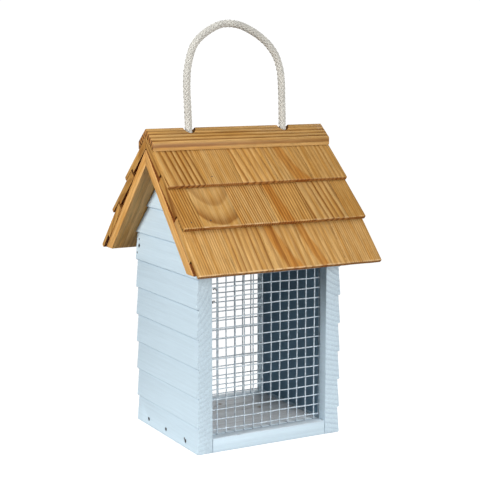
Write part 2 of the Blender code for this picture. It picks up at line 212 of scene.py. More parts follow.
def stainedPine(name, paintedShade=(1.0, 1.0, 1.0), stripes=pine["endStripes"]):
    made, tree, shader = newMaterial(name)
    grain, dark = ringPattern(tree, 0.4)
    strong = attribute(tree, "contrast").outputs["Fac"]
    late = calc(tree, "MULTIPLY", dark, strong)
    colour = blend(tree, "MIX", late, pine["early"], pine["late"])
    fibre = noiseOn(tree, scaled(tree, grain, pine["fibre"]), detail=4.0, rough=0.65)
    colour = times(tree, colour, ramp(tree, fibre, [(0.32, 0.76), (0.5, 1.0), (0.68, 1.18)]))
    streak = noiseOn(tree, scaled(tree, grain, pine["streak"]), detail=2.0)
    streaked = ramp(tree, streak, [(0.42, 0.0), (0.66, 1.0)])
    colour = times(tree, colour, pine["deep"], streaked)
    ragged = noiseOn(tree, scaled(tree, grain, pine["ragged"]), detail=3.0)
    ragged = calc(tree, "MULTIPLY_ADD", ragged, 0.9, -0.45)
    near = calc(tree, "ABSOLUTE", calc(tree, "ADD", attribute(tree, "band").outputs["Fac"], ragged))
    banded = ramp(tree, near, [(0.62, 0.9), (0.78, 0.55), (1.0, 0.0)])
    colour = times(tree, colour, pine["band"], banded)
    axis = attribute(tree, "axis").outputs["Vector"]
    end = calc(tree, "MULTIPLY", endGrain(tree, axis), 0.75)
    colour = times(tree, colour, pine["end"], end)
    pores = noiseOn(tree, scaled(tree, grain, pine["pores"]), detail=1.0)
    flecks = ramp(tree, pores, [(0.26, 0.5), (0.31, 1.0), (0.72, 1.0), (0.78, 1.12)])
    colour = times(tree, colour, flecks, 0.6)
    worn = attribute(tree, "worn").outputs["Fac"]
    patchy = ramp(tree, noiseOn(tree, grain, scale=0.25, detail=3.0), [(0.40, 0.15), (0.58, 1.0)])
    colour = blend(tree, "MIX", calc(tree, "MULTIPLY", worn, patchy), colour, pine["worn"])
    striped = ramp(tree, dark, [(0.05, 1.30), (0.35, 0.85), (0.8, 0.55)])
    colour = times(tree, colour, striped, calc(tree, "MULTIPLY", end, stripes))
    colour = times(tree, colour, attribute(tree, "tint").outputs["Color"])
    # painted shade, where a caller asks for it
    colour = times(tree, colour, paintedShade)
    tree.links.new(colour, shader.inputs["Base Color"])
    spreadOver(tree, shader, "Roughness", fibre, pine["rough"])
    shader.inputs["Specular IOR Level"].default_value = pine["shine"]
    ridges = bump(tree, dark, 0.08 * mm, 0.5)
    tree.links.new(bump(tree, fibre, 0.10 * mm, 0.6, ridges), shader.inputs["Normal"])
    return made


paint = {
    "colour": (0.580, 0.705, 0.785),
    "thin": (0.400, 0.505, 0.600),  # over hard rings
    "dusty": (0.36, 0.46, 0.54),  # painted shade on the walls of the nut chamber
    "insideX": 40.8,  # the chamber's half length, half depth and floor in millimetres
    "insideY": 35.0,
    "insideZ": 10.5,
    "lap": (0.62, 0.70, 0.76),  # painted shadow under each clapboard's lower edge
    "firstLap": 16.7,  # height of the lowest of those edges, and the step to the next, in millimetres
    "course": 18.24,
    "lapShade": 1.0,
    "outside": 43.0,  # further out than this is the clapboard face
    "fibre": (0.9, 0.035, 0.9),
    "rough": (0.48, 0.66),
    "shine": (0.3, 0.08),  # outside, and in the chamber
}


def lapShadowLine(tree):  # the thin shade under each clapboard, on the outside only
    place = addNode(tree, "SeparateXYZ", {0: placeInMm(tree)})
    above = calc(tree, "SUBTRACT", place.outputs["Z"], paint["firstLap"])
    course = calc(tree, "DIVIDE", above, paint["course"])
    below = calc(tree, "MULTIPLY", calc(tree, "SUBTRACT", 1.0, calc(tree, "FRACT", course)), paint["course"])
    line = ramp(tree, calc(tree, "DIVIDE", below, paint["lapShade"]), [(0.0, 1.0), (0.45, 0.8), (1.0, 0.0)])
    side = addNode(tree, "SeparateXYZ", {0: addNode(tree, "TexCoord").outputs["Normal"]}).outputs["X"]
    outside = calc(tree, "GREATER_THAN", calc(tree, "MULTIPLY", side, place.outputs["X"]), paint["outside"])
    return calc(tree, "MULTIPLY", line, outside)


def chamberSide(tree):  # 1 on the faces that look into the nut chamber, where the painted shade goes
    place = addNode(tree, "SeparateXYZ", {0: placeInMm(tree)})
    across, deep, height = (calc(tree, "ABSOLUTE", place.outputs[axis]) for axis in "XYZ")
    within = calc(tree, "MULTIPLY", calc(tree, "LESS_THAN", across, paint["insideX"]),
                  calc(tree, "LESS_THAN", deep, paint["insideY"]))
    return calc(tree, "MULTIPLY", within, calc(tree, "GREATER_THAN", height, paint["insideZ"]))


def paintedWood():
    made, tree, shader = newMaterial("powderBluePaint")
    grain, dark = ringPattern(tree, 0.8)
    end = endGrain(tree, attribute(tree, "axis").outputs["Vector"])
    fibre = noiseOn(tree, scaled(tree, grain, paint["fibre"]), detail=4.0, rough=0.6)
    speckle = noiseOn(tree, grain, scale=1.3, detail=3.0, rough=0.7)
    strong = calc(tree, "MULTIPLY", dark, attribute(tree, "contrast").outputs["Fac"])
    worn = calc(tree, "MULTIPLY", strong, calc(tree, "MULTIPLY_ADD", end, 0.75, 0.10))
    colour = blend(tree, "MIX", worn, paint["colour"], paint["thin"])
    colour = times(tree, colour, ramp(tree, fibre, [(0.3, 0.955), (0.7, 1.03)]))
    colour = times(tree, colour, ramp(tree, speckle, [(0.35, 0.86), (0.62, 1.03)]), end)
    colour = times(tree, colour, attribute(tree, "tint").outputs["Color"])
    # painted shadow under each clapboard's lower edge
    colour = times(tree, colour, paint["lap"], lapShadowLine(tree))
    inside = chamberSide(tree)
    # painted shade: the walls inside the nut chamber are darkened
    colour = times(tree, colour, paint["dusty"], inside)
    tree.links.new(colour, shader.inputs["Base Color"])
    spreadOver(tree, shader, "Roughness", speckle, paint["rough"])
    spreadOver(tree, shader, "Specular IOR Level", inside, paint["shine"])
    ridges = bump(tree, calc(tree, "MULTIPLY", dark, end), 0.18 * mm, 0.7)
    brushed = bump(tree, fibre, 0.10 * mm, 0.5, ridges)
    tree.links.new(bump(tree, speckle, 0.06 * mm, 0.4, brushed), shader.inputs["Normal"])
    return made


bare = {
    "early": (0.90, 0.92, 0.94),
    "late": (0.70, 0.69, 0.69),
    "oversprayed": (0.76, 0.87, 0.95),
    "sprayFrom": 29.0,  # from the middle of the base towards its mesh panels, in millimetres
    "sprayTo": 35.5,
    "spots": [(-0.3, 22.6, 8.7), (19.4, 3.6, 8.7)],  # where something dripped, in millimetres
    "spotReach": 2.6,
    "stain": (0.30, 0.20, 0.12),
    "fibre": (1.4, 0.05, 1.4),
    "patches": (0.16, 0.10, 0.16),
    "rough": 0.8,
}


def bareWood():
    made, tree, shader = newMaterial("bareWeatheredPine")
    grain, dark = ringPattern(tree, 0.8)
    fibre = noiseOn(tree, scaled(tree, grain, bare["fibre"]), detail=3.0, rough=0.6)
    colour = blend(tree, "MIX", calc(tree, "MULTIPLY", dark, 0.6), bare["early"], bare["late"])
    colour = times(tree, colour, ramp(tree, fibre, [(0.3, 0.86), (0.7, 1.08)]))
    place = placeInMm(tree)
    deep = calc(tree, "ABSOLUTE", addNode(tree, "SeparateXYZ", {0: place}).outputs["Y"])
    edge = calc(tree, "ADD", deep, noiseOn(tree, grain, scale=0.3, detail=4.0))
    reach = {"Value": edge, "From Min": bare["sprayFrom"], "From Max": bare["sprayTo"], "To Max": 0.85}
    sprayed = addNode(tree, "MapRange", reach).outputs["Result"]
    colour = blend(tree, "MIX", sprayed, colour, bare["oversprayed"])
    stain = noiseOn(tree, scaled(tree, grain, bare["patches"]), detail=2.0)
    colour = times(tree, colour, ramp(tree, stain, [(0.28, 0.72), (0.36, 1.0)]))
    rough = noiseOn(tree, grain, scale=0.9, detail=3.0)
    for spot in bare["spots"]:
        away = addNode(tree, "VectorMath", {0: place, 1: spot}, operation="DISTANCE").outputs["Value"]
        share = calc(tree, "DIVIDE", calc(tree, "ADD", away, rough), bare["spotReach"])
        colour = blend(tree, "MIX", ramp(tree, share, [(0.45, 0.9), (1.0, 0.0)]), colour, bare["stain"])
    colour = times(tree, colour, attribute(tree, "tint").outputs["Color"])
    tree.links.new(colour, shader.inputs["Base Color"])
    shader.inputs["Roughness"].default_value = bare["rough"]
    tree.links.new(bump(tree, fibre, 0.10 * mm, 0.6), shader.inputs["Normal"])
    return made


zinc = {"dark": (0.38, 0.45, 0.50), "light": (0.70, 0.78, 0.84), "spangle": 700.0, "rough": (0.62, 0.42),
        "metal": 0.35}


def zincWire():
    made, tree, shader = newMaterial("galvanisedZinc")
    place = addNode(tree, "TexCoord").outputs["Object"]
    spangle = noiseOn(tree, place, scale=zinc["spangle"], detail=3.0)
    colour = ramp(tree, spangle, [(0.3, zinc["dark"]), (0.7, zinc["light"])])
    tree.links.new(colour, shader.inputs["Base Color"])
    spreadOver(tree, shader, "Roughness", spangle, zinc["rough"])
    shader.inputs["Metallic"].default_value = zinc["metal"]
    tree.links.new(bump(tree, spangle, 0.08 * mm, 0.4), shader.inputs["Normal"])
    return made


steel = {"dark": (0.035, 0.035, 0.04), "light": (0.16, 0.15, 0.15), "grime": 1800.0, "rough": 0.55,
         "metal": 0.6}


def nailSteel():
    made, tree, shader = newMaterial("dullNailSteel")
    place = addNode(tree, "TexCoord").outputs["Object"]
    grime = noiseOn(tree, place, scale=steel["grime"], detail=3.0)
    colour = ramp(tree, grime, [(0.35, steel["dark"]), (0.7, steel["light"])])
    tree.links.new(colour, shader.inputs["Base Color"])
    shader.inputs["Roughness"].default_value = steel["rough"]
    shader.inputs["Metallic"].default_value = steel["metal"]
    tree.links.new(bump(tree, grime, 0.05 * mm, 0.5), shader.inputs["Normal"])
    return made


cotton = {"dark": (0.48, 0.465, 0.42), "light": (0.67, 0.655, 0.605), "fuzz": 2600.0, "soft": 160.0,
          "rough": 0.95, "shine": 0.15, "sheen": 0.25}


def cottonBraid():
    made, tree, shader = newMaterial("cottonBraid")
    place = addNode(tree, "TexCoord").outputs["Object"]
    fuzz = noiseOn(tree, place, scale=cotton["fuzz"], detail=3.0, rough=0.7)
    soft = noiseOn(tree, place, scale=cotton["soft"], detail=2.0)
    colour = ramp(tree, fuzz, [(0.3, cotton["dark"]), (0.65, cotton["light"])])
    colour = times(tree, colour, ramp(tree, soft, [(0.3, 0.92), (0.7, 1.04)]))
    tree.links.new(colour, shader.inputs["Base Color"])
    shader.inputs["Roughness"].default_value = cotton["rough"]
    shader.inputs["Specular IOR Level"].default_value = cotton["shine"]
    shader.inputs["Sheen Weight"].default_value = cotton["sheen"]
    tree.links.new(bump(tree, fuzz, 0.15 * mm, 0.8), shader.inputs["Normal"])
    return made


stainedLook = stainedPine("stainedPine")
# a darker copy of the stain for the faces in the roof's wedges: painted shade
wedgeShadeLook = stainedPine("soakedPine", paintedShade=pine["soaked"])
ridgeLook = stainedPine("ridgePine", stripes=pine["ridgeStripes"])
paintLook = paintedWood()
bareLook = bareWood()
zincLook = zincWire()
steelLook = nailSteel()
cottonLook = cottonBraid()
print("finishes made")


weld = {"curve": 0.001 * mm, "board": 0.01 * mm}  # how close two corners are merged
sharpAngle = math.radians(35)
flatAngle = math.radians(0.5)
cornerAngle = math.radians(28)


def plainName(node):
    words = node.split("_")
    return words[0] + "".join(word.title() for word in words[1:])


def addPiece(name, bm, material, body):
    mesh = bpy.data.meshes.new(name)
    bm.to_mesh(mesh)
    bm.free()
    mesh.shade_smooth()
    mesh.set_sharp_from_angle(angle=sharpAngle)
    mesh.materials.append(material)
    piece = bpy.data.objects.new(name, mesh)
    bpy.context.collection.objects.link(piece)
    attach(piece, body)
    return piece


def meshFromCurve(curve):
    holder = bpy.data.objects.new("curveHolder", curve)
    bpy.context.collection.objects.link(holder)
    bpy.context.view_layer.update()
    depsgraph = bpy.context.evaluated_depsgraph_get()
    mesh = bpy.data.meshes.new_from_object(holder.evaluated_get(depsgraph), depsgraph=depsgraph)
    bpy.data.objects.remove(holder)
    bm = bmesh.new()
    bm.from_mesh(mesh)
    bpy.data.meshes.remove(mesh)
    bmesh.ops.remove_doubles(bm, verts=bm.verts, dist=weld["curve"])
    bmesh.ops.recalc_face_normals(bm, faces=bm.faces)
    return bm


def newCurve(radius, resolution):
    curve = bpy.data.curves.new("wire", "CURVE")
    curve.dimensions = "3D"
    curve.bevel_depth = radius
    curve.bevel_resolution = resolution
    curve.use_fill_caps = True
    return curve


def addSpline(curve, points):
    spline = curve.splines.new("POLY")
    spline.points.add(len(points) - 1)
    for target, point in zip(spline.points, points):
        target.co = (*point, 1)


def mergeInto(target, other):
    mesh = bpy.data.meshes.new("merging")
    other.to_mesh(mesh)
    other.free()
    target.from_mesh(mesh)
    bpy.data.meshes.remove(mesh)


rope = {
    "diameter": 5.0 * mm,
    "pitch": 19.0 * mm,  # length in which a strand goes once round
    "strands": 6,  # in each direction
    "strandRadius": 0.74 * mm,
    "ring": 1.48 * mm,  # middle of the strands from the middle of the rope
    "weave": 0.27 * mm,
    "core": 1.75 * mm,
    "step": 0.55 * mm,
    "finer": 40,  # steps between two points of the route while it is smoothed
    "pathEvery": 6,
    "knotSize": 0.9,  # the rope is pulled thinner in its knots
    "knotSink": 0.8 * mm,
    "knotFrom": 0.06,  # the part of a trefoil that an overhand knot follows
    "knotTurn": 0.90,
    "knotPoints": 30,
}
# The rope's run from the left knot, over the loop and down to the right knot: X and Z in millimetres.
ropeRoute = [
    (-33.6, 148), (-33.6, 172), (-33.8, 196), (-34.5, 212), (-34.8, 222), (-34, 233), (-30, 245.5),
    (-22, 253.5), (-11, 258.8), (0, 259), (11, 255), (21, 248.5), (28, 240.5), (31.5, 232),
    (32.8, 223), (33.3, 210), (33.6, 195), (33.6, 172), (33.6, 148),
]


def smoothRun(points, step):
    padded = [2 * points[0] - points[1], *points, 2 * points[-1] - points[-2]]
    fine = []
    for a, b, c, d in zip(padded, padded[1:], padded[2:], padded[3:]):
        for part in range(rope["finer"]):
            t = part / rope["finer"]
            fine.append(0.5 * (2 * b + t * (c - a) + t * t * (2 * a - 5 * b + 4 * c - d)
                               + t ** 3 * (3 * b - a - 3 * c + d)))
    fine.append(points[-1])
    lengths = [0.0]
    for a, b in zip(fine, fine[1:]):
        lengths.append(lengths[-1] + (b - a).length)
    count = round(lengths[-1] / step)
    evenly, index = [], 0
    for number in range(count + 1):
        along = lengths[-1] * number / count
        while index < len(fine) - 2 and lengths[index + 1] < along:
            index += 1
        share = (along - lengths[index]) / max(lengths[index + 1] - lengths[index], 1e-9)
        evenly.append(fine[index].lerp(fine[index + 1], share))
    return evenly, lengths[-1]


def ropeFrames(run):
    frames = []
    side = acrossRidge
    for index, point in enumerate(run):
        ahead = (run[min(index + 1, len(run) - 1)] - run[max(index - 1, 0)]).normalized()
        side = (side - ahead * side.dot(ahead)).normalized()
        frames.append((point, side, ahead.cross(side)))
    return frames


def everyFew(run, gap):
    return run[::gap] if (len(run) - 1) % gap == 0 else run[::gap] + [run[-1]]


def braided(run, size=1.0):
    step = (run[1] - run[0]).length
    frames = ropeFrames(run)
    strands = newCurve(rope["strandRadius"] * size, 1)
    for turnWay in (1, -1):
        for number in range(rope["strands"]):
            points = []
            for index, (point, side, other) in enumerate(frames):
                turns = index * step / (rope["pitch"] * size)
                angle = 2 * math.pi * (number / rope["strands"] + turnWay * turns)
                over = turnWay * math.cos(2 * math.pi * rope["strands"] * turns)
                reach = (rope["ring"] + rope["weave"] * over) * size
                points.append(point + side * reach * math.cos(angle) + other * reach * math.sin(angle))
            addSpline(strands, points)
    bm = meshFromCurve(strands)
    core = newCurve(rope["core"] * size, 2)
    addSpline(core, everyFew(run, 4))
    mergeInto(bm, meshFromCurve(core))
    return bm


def addRope():
    route = [Vector((x, 0, z)) * mm for x, z in ropeRoute]
    run, length = smoothRun(route, rope["step"])
    piece = addPiece("hangingRope", braided(run), cottonLook, "house")
    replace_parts(piece, "rope")
    knots = [addKnot(word, side) for word, side in (("left", -1), ("right", 1))]
    return length


def addKnot(word, side):
    low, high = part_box("rope_knot_" + word)
    middle = (low + high) / 2
    half = (high - low) / 2
    size = rope["knotSize"]
    swing = half.x - rope["diameter"] / 2 * size
    rise = half.z - rope["diameter"] / 2 * size - rope["knotSink"]
    run = []
    for index in range(rope["knotPoints"] + 1):
        t = 2 * math.pi * (rope["knotFrom"] + rope["knotTurn"] * index / rope["knotPoints"])
        reach = swing * (2 + math.cos(3 * t)) / 3
        turn = Vector((reach * math.cos(2 * t) * side, reach * math.sin(2 * t), rise * math.sin(3 * t)))
        run.append(middle + turn)
    evenly, _ = smoothRun(run, rope["step"])
    piece = addPiece("ropeKnot" + word.title(), braided(evenly, size), cottonLook, "house")
    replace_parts(piece, "rope_knot_" + word)
    return piece


ropeLength = addRope()
print("rope braided,", round(ropeLength, 4), "m")


def mergedCopy(node):  # a copy of a node of the frame, with its flat faces whole again
    bm = bmesh.new()
    bm.from_mesh(nodes[node].data)
    bmesh.ops.remove_doubles(bm, verts=bm.verts, dist=weld["board"])
    bmesh.ops.dissolve_limit(bm, angle_limit=flatAngle, verts=bm.verts, edges=bm.edges)
    return bm


def bevelEdges(bm, edges, offset, segments):
    bmesh.ops.bevel(bm, geom=edges, offset=offset, segments=segments, profile=0.5, affect="EDGES",
                    material=-1, clamp_overlap=True)


def boardMesh(node, edge):
    bm = mergedCopy(node)
    corners = [side for side in bm.edges if side.is_manifold and side.calc_face_angle() > cornerAngle]
    bevelEdges(bm, corners, edge, 2)
    bmesh.ops.triangulate(bm, faces=[face for face in bm.faces if len(face.verts) > 4])
    return bm


# Every board carries in its mesh "grain", its own position across, along and through the board in
# millimetres; "growth", the same from the heart of its tree in rings; "tint", the colour it is multiplied
# by; "axis", the way its fibres run; "contrast", the strength of its rings; and "band", which is within 1
# on a wide flat-sawn band.
noBand = 9.0  # far outside any band
grainShift = 500  # so that no two boards show the same grain


def writeGrain(piece, across, along, cut, tint=(1.0, 1.0, 1.0), contrast=1.0, seed=0):
    mesh = piece.data
    low, high = Vector(piece.bound_box[0]), Vector(piece.bound_box[6])
    middle = (low + high) / 2
    across, along = Vector(across).normalized(), Vector(along).normalized()
    through = across.cross(along)
    shuffle = random.Random(seed)
    offset = Vector([shuffle.uniform(0, grainShift) for _ in range(3)])
    grain = mesh.attributes.new("grain", "FLOAT_VECTOR", "POINT")
    growth = mesh.attributes.new("growth", "FLOAT_VECTOR", "POINT")
    heart, lean, ring = cut["heart"], cut.get("lean", (0.0, 0.0)), cut["ring"]
    for index, vertex in enumerate(mesh.vertices):
        away = (vertex.co - middle) / mm
        u, v, w = away.dot(across), away.dot(along), away.dot(through)
        grain.data[index].vector = Vector((u, v, w)) + offset
        growth.data[index].vector = Vector((u - heart[0] - lean[0] * v, v, w - heart[1] - lean[1] * v)) / ring
    count = len(mesh.vertices)
    mesh.attributes.new("tint", "FLOAT_COLOR", "POINT").data.foreach_set("color", (*tint, 1.0) * count)
    mesh.attributes.new("axis", "FLOAT_VECTOR", "POINT").data.foreach_set("vector", (*along,) * count)
    mesh.attributes.new("contrast", "FLOAT", "POINT").data.foreach_set("value", [contrast] * count)
    band = mesh.attributes.new("band", "FLOAT", "POINT")
    if "band" not in cut:
        band.data.foreach_set("value", [noBand] * count)
        return
    place, lean, narrow, wide = cut["band"]  # across the board, its lean, and half its width at both ends
    length = (high - low).dot(Vector([abs(part) for part in along])) / mm
    for vertex, item in zip(mesh.vertices, band.data):
        away = (vertex.co - middle) / mm
        share = min(max(away.dot(along) / length + 0.5, 0.0), 1.0)
        half = narrow + (wide - narrow) * share
        item.value = (away.dot(across) - place - lean * away.dot(along)) / half


def addBoard(name, node, body, material, edge):
    piece = addPiece(name, boardMesh(node, edge), material, body)
    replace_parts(piece, node)
    return piece


# Each board's heart is where the middle of its tree lay from its own middle, across it and through it.
walls = {
    "left_wall": {"heart": (30.0, 34.0), "ring": 2.9, "late": 0.5, "seed": 3},
    "right_wall": {"heart": (60.0, -26.0), "ring": 3.1, "late": 0.85, "seed": 4},
}
wallEdge = 0.25 * mm


def addWalls():
    for node, look in walls.items():
        piece = addBoard(plainName(node), node, "house", paintLook, wallEdge)
        writeGrain(piece, upward, acrossRidge, look, contrast=look["late"], seed=look["seed"])


base = {"edge": 0.3 * mm, "heart": (12.0, -45.0), "ring": 2.6, "seed": 8}


def addBase():
    piece = addBoard("baseBoard", "base_board", "house", paintLook, base["edge"])
    piece.data.materials.append(bareLook)
    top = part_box("base_board")[1].z
    for face in piece.data.polygons:
        if face.normal.z > 0.7 and face.center.z > top - base["edge"]:
            face.material_index = 1
    writeGrain(piece, acrossRidge, alongRidge, base, seed=base["seed"])


topRails = {"edge": 0.3 * mm, "heart": (-18.0, 22.0), "ring": 2.0, "seed": 11}
hangerBar = {"edge": 0.4 * mm, "heart": (6.0, -20.0), "ring": 1.8, "seed": 12, "tint": (0.62, 0.50, 0.34)}


def addRails():
    for node in ("front_top_rail", "rear_top_rail"):
        piece = addBoard(plainName(node), node, "house", paintLook, topRails["edge"])
        writeGrain(piece, upward, alongRidge, topRails, seed=topRails["seed"])
    bar = addBoard("hangerBar", "hanger_bar", "house", bareLook, hangerBar["edge"])
    writeGrain(bar, acrossRidge, alongRidge, hangerBar, hangerBar["tint"], seed=hangerBar["seed"])


addWalls()
addBase()
addRails()
print("house boards made")


wire = {
    "radius": 0.41 * mm,
    "pitch": 6.35 * mm,
    "uprights": 13,
    "crosses": 18,
    "shift": -1.2 * mm,  # the uprights aren't quite in the middle of the panel
    "bite": 0.62,  # how far two crossing wires stay apart, in radii, on each side of the panel's middle
    "weld": (1.15, 1.45),  # smallest and largest weld, in radii
    "weldShape": (1.15, 0.95, 1.15),
    "wave": 0.16 * mm,
    "bend": 0.6,  # how much of the wave is a slow bend, and how much is small kinks
    "kink": 0.45,
    "drips": [(4.6, 90.0), (17.6, 82.9), (24.2, 83.6)],  # across and up, where the zinc ran
    "dripSize": (0.62 * mm, 0.55 * mm, 1.2 * mm),
}


def wavyLine(start, end, sway, shuffle, count):
    phase = shuffle.uniform(0, 6.28)
    line = []
    for index in range(count + 1):
        share = index / count
        drift = math.sin(phase + share * 9.0) * wire["bend"] + shuffle.uniform(-1, 1) * wire["kink"]
        line.append(start.lerp(end, share) + sway * drift * wire["wave"])
    return line


def addMesh(name, node, side):
    low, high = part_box(node)
    depth = (low.y + high.y) / 2
    radius, pitch = wire["radius"], wire["pitch"]
    firstX = -(wire["uprights"] - 1) / 2 * pitch + wire["shift"]
    firstZ = high.z - radius - (wire["crosses"] - 1) * pitch
    shuffle = random.Random(21 if side < 0 else 22)
    lines = newCurve(radius, 2)
    apart = side * radius * wire["bite"]
    uprightY, crossY = depth - apart, depth + apart
    for number in range(wire["uprights"]):
        x = firstX + number * pitch
        ends = Vector((x, uprightY, low.z + 0.1 * mm)), Vector((x, uprightY, high.z))
        addSpline(lines, wavyLine(*ends, alongRidge, shuffle, 20))
    for number in range(wire["crosses"]):
        z = firstZ + number * pitch
        ends = Vector((low.x, crossY, z)), Vector((high.x, crossY, z))
        addSpline(lines, wavyLine(*ends, upward, shuffle, 16))
    bm = meshFromCurve(lines)
    for number in range(wire["uprights"]):
        for row in range(wire["crosses"]):
            size = radius * shuffle.uniform(*wire["weld"])
            place = Matrix.Translation((firstX + number * pitch, depth, firstZ + row * pitch))
            shape = Matrix.Diagonal((*(size * part for part in wire["weldShape"]), 1.0))
            bmesh.ops.create_icosphere(bm, subdivisions=1, radius=1.0, matrix=place @ shape)
    for x, z in wire["drips"] if side < 0 else ():
        place = Matrix.Translation((x * mm, uprightY - radius * 0.5, z * mm))
        shape = Matrix.Diagonal((*wire["dripSize"], 1.0))
        bmesh.ops.create_icosphere(bm, subdivisions=2, radius=1.0, matrix=place @ shape)
    piece = addPiece(name, bm, zincLook, "house")
    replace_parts(piece, node)


# Two bent staples left in the front mesh: across, up and the turn of each in degrees.
staples = {"places": [(-35.0, 99.3, -30), (-35.8, 91.9, 40)], "radius": 0.34 * mm, "across": 0.85 * mm,
           "tall": 0.75 * mm, "forward": 1.1 * mm, "lead": 0.08 * mm, "step": 17}


def addStaples():
    low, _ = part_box("front_mesh")
    curls = newCurve(staples["radius"], 2)
    for x, z, turn in staples["places"]:
        middle = Vector((x * mm, low.y - staples["forward"], z * mm))
        curl = []
        for index in range(13):
            angle = math.radians(turn + staples["step"] * index)
            curl.append(middle + Vector((staples["across"] * math.cos(angle), staples["lead"] * index,
                                         staples["tall"] * math.sin(angle))))
        addSpline(curls, curl)
    addPiece("meshStaples", meshFromCurve(curls), steelLook, "house")


addMesh("frontMesh", "front_mesh", -1)
addMesh("rearMesh", "rear_mesh", 1)
addStaples()
print("wire mesh welded")


nail = {
    "head": 1.1 * mm,
    "shank": 0.7 * mm,
    "rise": 0.12 * mm,  # the head's dome
    "thick": 0.5 * mm,
    "point": 1.6 * mm,
    "steps": 16,
    "looseLength": 5.0 * mm,
    "looseSize": 0.8,
    "stepIn": 1.5 * mm,  # how far each clapboard leans in by its top
}
# Nails beside those of the frame: side, Y and Z in millimetres.
looseNails = [(-1, 40.6, 121.4), (-1, 42.3, 112.5), (-1, -25.6, 5.6), (1, 41.0, 112.9)]


def nailShape(length):
    bm = bmesh.new()
    profile = [(0.0, nail["rise"]), (0.6 * nail["head"], nail["rise"] * 0.8), (nail["head"] * 0.95, 0.0),
               (nail["head"], -0.1 * mm), (nail["head"], -nail["thick"]), (nail["shank"], -nail["thick"]),
               (nail["shank"], nail["point"] - length), (0.0, -length)]
    points = [bm.verts.new((radius, 0, height)) for radius, height in profile]
    edges = [bm.edges.new(pair) for pair in zip(points, points[1:])]
    bmesh.ops.spin(bm, geom=points + edges, cent=(0, 0, 0), axis=(0, 0, 1), steps=nail["steps"],
                   angle=2 * math.pi, use_merge=True, use_duplicate=False)
    bmesh.ops.remove_doubles(bm, verts=bm.verts, dist=weld["curve"])
    bmesh.ops.recalc_face_normals(bm, faces=bm.faces)
    return bm


def driveNail(bm, side, seat):  # turns a nail to stand in a wall's face
    bmesh.ops.transform(bm, verts=bm.verts, matrix=seat @ Matrix.Rotation(side * math.pi / 2, 4, "Y"))


def addLooseNails():
    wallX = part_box("right_wall")[1].x
    size = nail["looseSize"]
    for number, (side, y, z) in enumerate(looseNails, 1):
        climbed = (z - paint["firstLap"]) % paint["course"] if z > paint["firstLap"] else z
        inset = climbed / paint["course"] * nail["stepIn"]
        seat = Matrix.Translation((side * (wallX - inset), y * mm, z * mm))
        bm = nailShape(nail["looseLength"])
        driveNail(bm, side, seat)
        bmesh.ops.scale(bm, vec=(1.0, size, size), verts=bm.verts, space=seat.inverted())
        addPiece(f"looseNail{number}", bm, steelLook, "house")


def addNails():
    for node in sorted(nodes):
        if "_nail_" not in node:
            continue
        low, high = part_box(node)
        side = -1 if low.x < 0 else 1
        head = low.x if side < 0 else high.x
        middle = (low + high) / 2
        bm = nailShape(high.x - low.x - 0.2 * mm)
        driveNail(bm, side, Matrix.Translation((head - side * nail["rise"], middle.y, middle.z)))
        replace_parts(addPiece(plainName(node), bm, steelLook, "house"), node)


addNails()
addLooseNails()
print("nails driven")


shingle = {
    "depth": 2.8 * mm,  # of the step under its foot, and that step's length
    "length": 12.9 * mm,
    "footRound": 0.42 * mm,
    "edge": 0.12 * mm,
    "close": 0.12 * mm,  # nearer to its neighbours than the frame's, on each side
    "mitre": 0.15 * mm,  # from the middle of the ridge
    "wear": 1.1 * mm,  # a cut across it, this far above its foot, that keeps the worn edge narrow
    "wornDown": 0.7 * mm,
    "wornIn": 0.3 * mm,
    "lengthCuts": 7,
    "ripple": 0.06 * mm,  # along the foot
    "dip": 0.05 * mm,  # over the face
}
footWear = {"top": 0.15, "middle": 0.55, "eave": 0.8}  # how far the stain is rubbed off each course's foot

